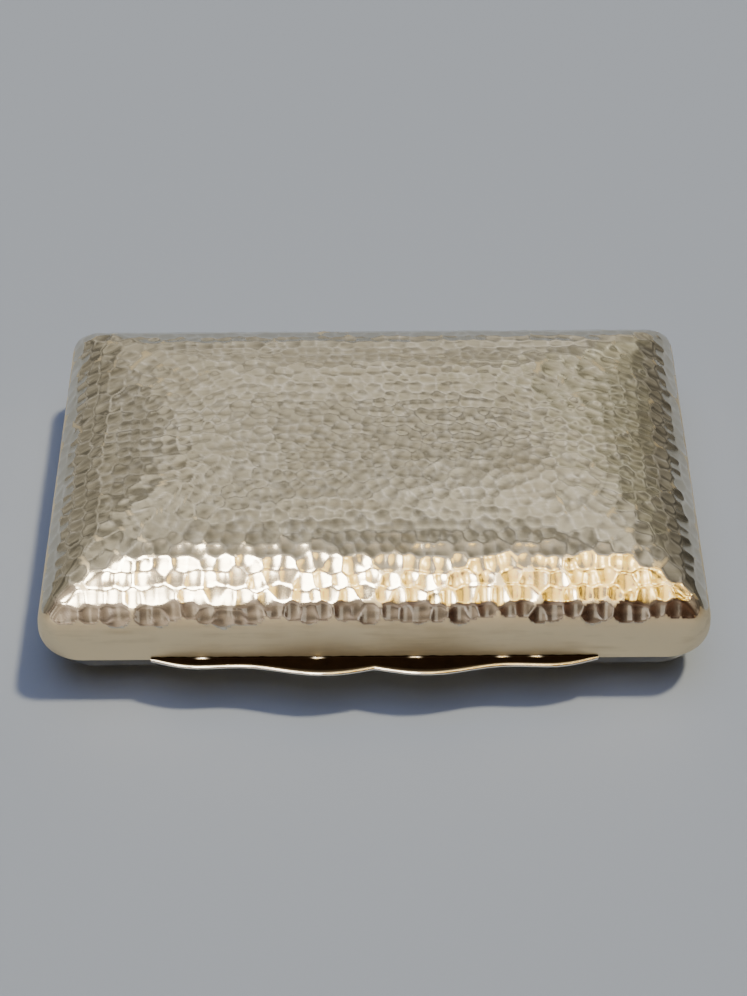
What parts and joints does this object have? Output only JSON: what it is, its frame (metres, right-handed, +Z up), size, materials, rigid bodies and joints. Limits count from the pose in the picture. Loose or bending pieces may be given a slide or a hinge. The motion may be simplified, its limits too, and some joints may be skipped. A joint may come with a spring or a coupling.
{
  "type": "cheroot case",
  "caption": "Hinged pocket case for cheroots: hammered silver cushion lid over a shallow base, bracket-shaped thumb-piece on the front rim, knuckle hinge along the back.",
  "frame": {"origin": "middle of the flat foot under the base, on the surface the case lies on", "axes": "+X along the length, to the right as seen from the thumb-piece; +Y to the back, where the hinge is; +Z up through the lid"},
  "size_m": [0.125, 0.0847, 0.0288],
  "materials": {
    "hammered_silver": "planished with a round-faced hammer and polished; plain band above the rim; gilt inside",
    "polished_silver": "smooth polish with fine wear",
    "silver_gilt": "thin gilding over silver, soft sheen",
    "pin_wire": "drawn wire"
  },
  "bodies": {
    "base": {"base_shell": "hammered_silver", "base_bezel": "silver_gilt", "catch_bead": "silver_gilt", "base_joint": "polished_silver", "base_knuckle_1": "polished_silver", "base_knuckle_2": "polished_silver", "base_knuckle_3": "polished_silver", "base_knuckle_4": "polished_silver", "base_knuckle_5": "polished_silver", "hinge_pin": "pin_wire", "hinge_plug_left": "polished_silver", "hinge_plug_right": "polished_silver"},
    "lid": {"lid_shell": "hammered_silver", "thumb_piece": "polished_silver", "lid_joint": "polished_silver", "lid_knuckle_1": "polished_silver", "lid_knuckle_2": "polished_silver", "lid_knuckle_3": "polished_silver", "lid_knuckle_4": "polished_silver"}
  },
  "joints": [
    {"name": "lid_hinge", "type": "hinge", "parent": "base", "child": "lid", "pos_m": [0, 0.0395, 0.01015], "axis": [-1, 0, 0], "range_deg": [0, 120]}
  ]
}
